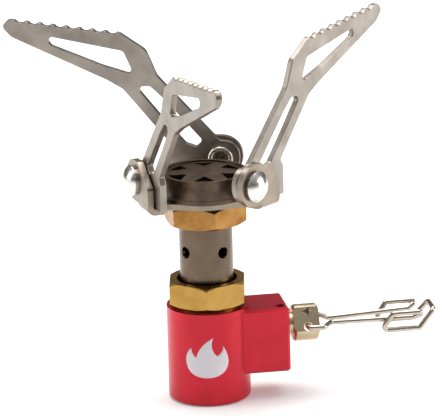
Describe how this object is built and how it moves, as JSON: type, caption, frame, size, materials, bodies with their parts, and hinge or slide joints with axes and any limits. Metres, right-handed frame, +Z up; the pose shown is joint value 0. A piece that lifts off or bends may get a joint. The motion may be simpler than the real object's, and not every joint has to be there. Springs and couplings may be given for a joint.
{
  "type": "folding canister stove",
  "caption": "Folding gas stove that screws onto a canister: red valve body, mixing tube, burner with flame ports, wire valve handle and hinged serrated pot arms.",
  "frame": {"origin": "centre of the valve body's bottom face, on the axis of the canister thread", "axes": "+Z up through the mixing tube and burner, +X along the valve spindle towards the wire handle"},
  "size_m": [0.0948, 0.0794, 0.0852],
  "materials": {
    "body_red": "satin red anodised",
    "spindle_brass": "turned, slightly dulled",
    "handle_wire": "bright drawn wire",
    "seal_rubber": "matte",
    "filter_bronze": "sintered",
    "pin_steel": "ground",
    "holder_brass": "bright machined",
    "nut_brass": "heat toned",
    "tube_steel": "satin",
    "bracket_steel": "tumbled",
    "arm_steel": "tumbled",
    "rivet_steel": "polished",
    "burner_steel": "heat darkened"
  },
  "bodies": {
    "stove_body": {"valve_body": "body_red", "canister_o_ring": "seal_rubber", "inlet_filter": "filter_bronze", "depressor_pin": "pin_steel", "spindle_catch_pin": "pin_steel", "jet_holder": "holder_brass", "jet_seal_washer": "seal_rubber", "gas_jet": "nut_brass", "mixing_tube": "tube_steel", "burner_nut": "nut_brass", "burner_cup": "burner_steel", "burner_cap": "burner_steel", "support_bracket": "bracket_steel", "arm_rivet_1": "rivet_steel", "arm_rivet_2": "rivet_steel", "arm_rivet_3": "rivet_steel"},
    "pot_arm_1": {"support_arm_1": "arm_steel"},
    "pot_arm_2": {"support_arm_2": "arm_steel"},
    "pot_arm_3": {"support_arm_3": "arm_steel"},
    "spindle": {"valve_spindle": "spindle_brass", "spindle_o_rings": "seal_rubber"},
    "handle": {"wire_handle": "handle_wire"}
  },
  "joints": [
    {"name": "arm_fold_1", "type": "hinge", "parent": "stove_body", "child": "pot_arm_1", "pos_m": [0.00778, -0.01151, 0.0531], "axis": [0.6626, -0.749, 0], "range_deg": [0, 70]},
    {"name": "arm_fold_2", "type": "hinge", "parent": "stove_body", "child": "pot_arm_2", "pos_m": [0.00608, 0.0125, 0.0531], "axis": [0.3173, 0.9483, 0], "range_deg": [0, 70]},
    {"name": "arm_fold_3", "type": "hinge", "parent": "stove_body", "child": "pot_arm_3", "pos_m": [-0.01386, -0.00098, 0.0531], "axis": [-0.9799, -0.1994, 0], "range_deg": [0, 70]},
    {"name": "spindle_turn", "type": "hinge", "parent": "stove_body", "child": "spindle", "pos_m": [0.0195, 0, 0.01575], "axis": [1, 0, 0], "range_deg": [0, 540]},
    {"name": "handle_fold", "type": "hinge", "parent": "spindle", "child": "handle", "pos_m": [0.0228, 0, 0.01575], "axis": [0, -1, 0], "range_deg": [-90, 90]}
  ]
}
